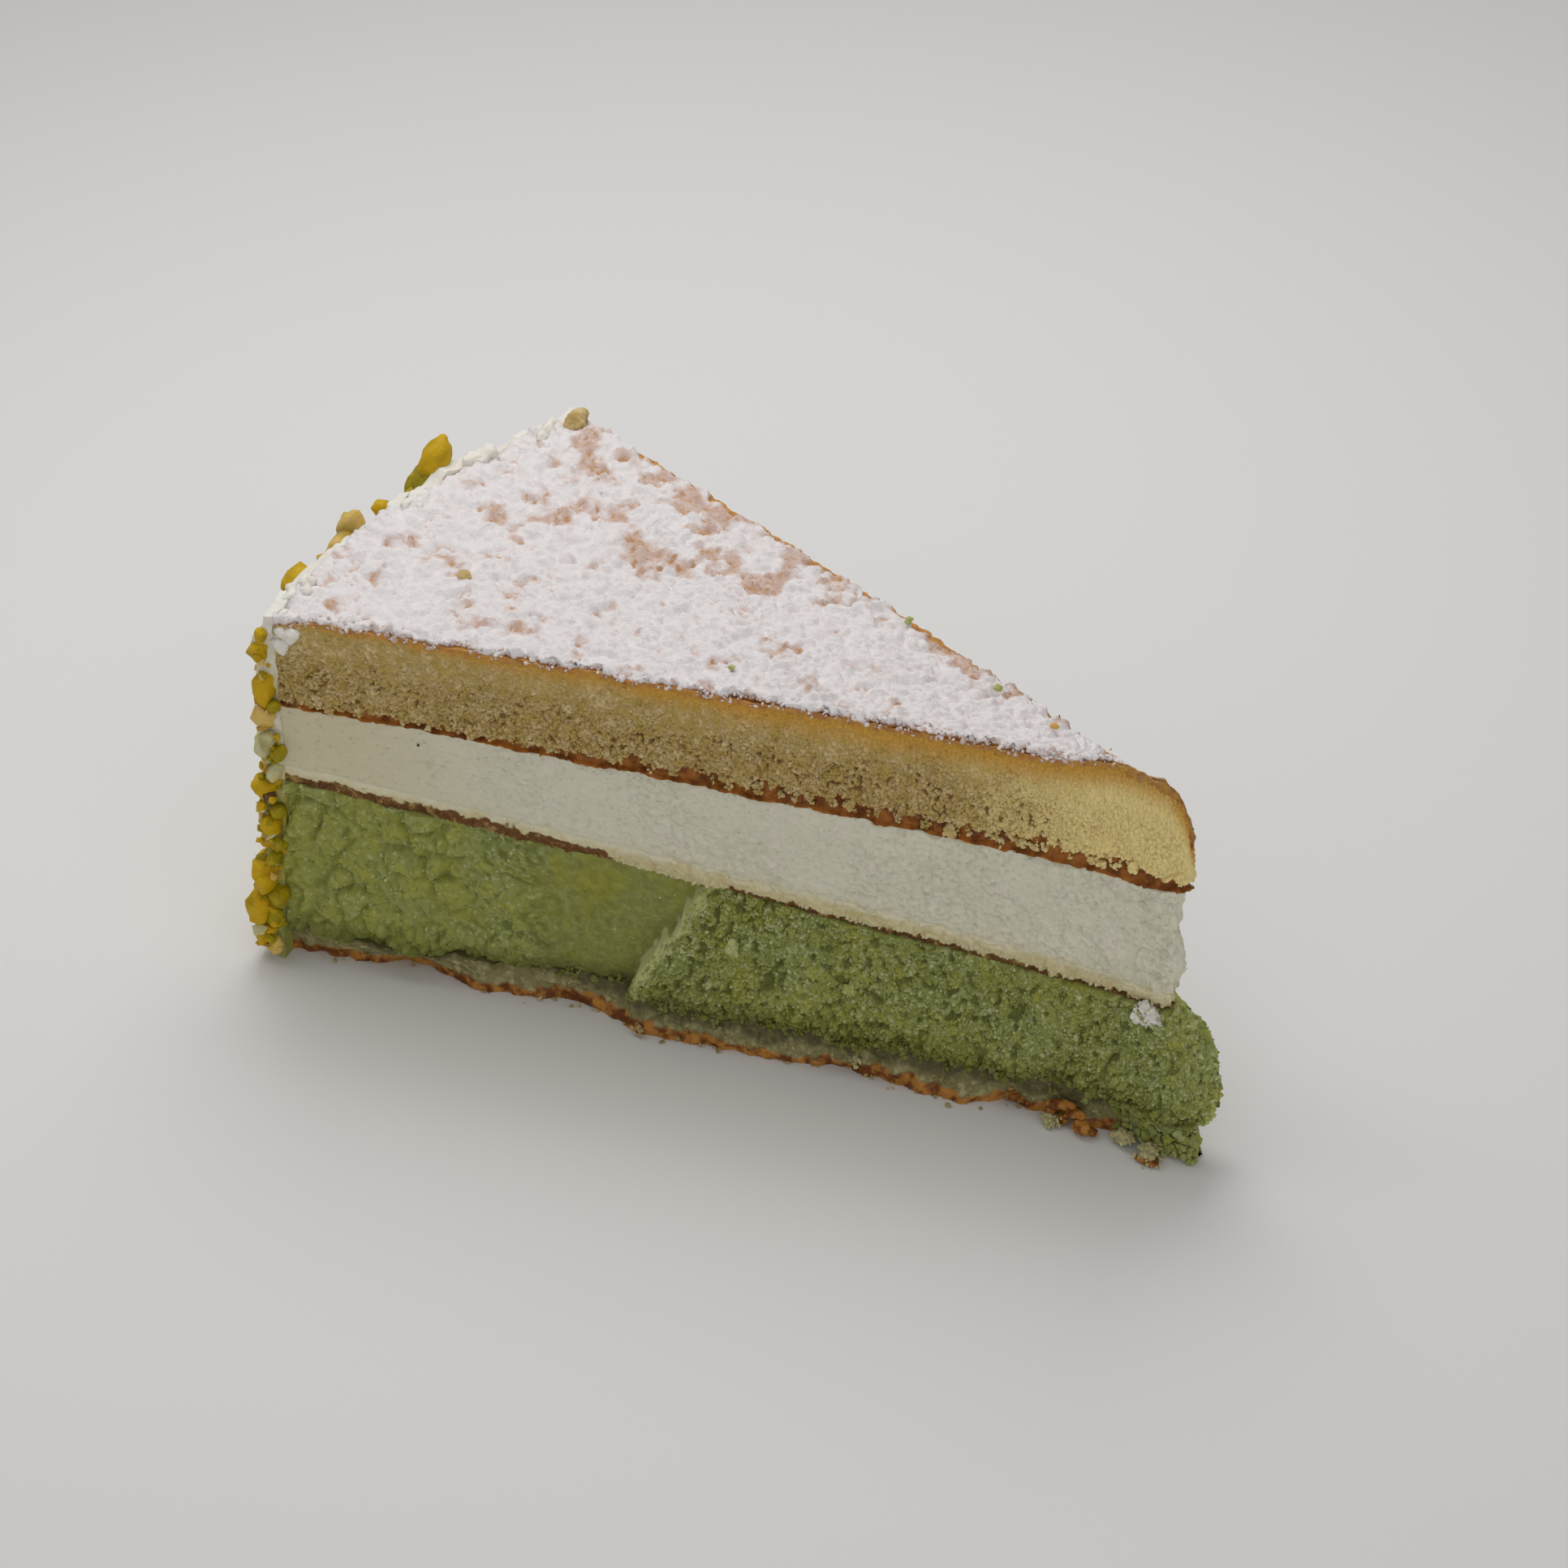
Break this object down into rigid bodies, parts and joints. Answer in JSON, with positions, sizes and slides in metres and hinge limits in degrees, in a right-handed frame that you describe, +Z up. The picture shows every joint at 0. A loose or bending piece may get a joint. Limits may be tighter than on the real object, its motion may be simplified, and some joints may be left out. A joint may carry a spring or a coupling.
{
  "type": "layered ricotta and pistachio cake slice",
  "caption": "Slice of a layered cake: browned sponge top, ricotta cream, thin sponge, pistachio cream and sponge base, with chopped nuts on the rim.",
  "frame": {"origin": "on the floor, under the middle of the slice's bounding box", "axes": "+X from the coated rim towards the point of the slice, +Z up, so the front cut faces -Y"},
  "size_m": [0.133, 0.0692, 0.0579],
  "materials": {
    "base_sponge": "moist grey-green sponge with a brown skin underneath",
    "pistachio_cream": "matt, granular green cream",
    "sponge_disc": "thin open sponge with a brown lower skin",
    "ricotta_cream": "moist off-white cream, softly smeared",
    "top_sponge": "yellow sponge crumb, browned crust dusted with icing sugar",
    "rim_coat": "thin cream coat covered in chopped pistachios"
  },
  "bodies": {
    "root": {"base_sponge": "base_sponge", "pistachio_cream": "pistachio_cream", "sponge_disc": "sponge_disc", "ricotta_cream": "ricotta_cream", "top_sponge": "top_sponge", "rim_coat": "rim_coat"}
  },
  "joints": []
}
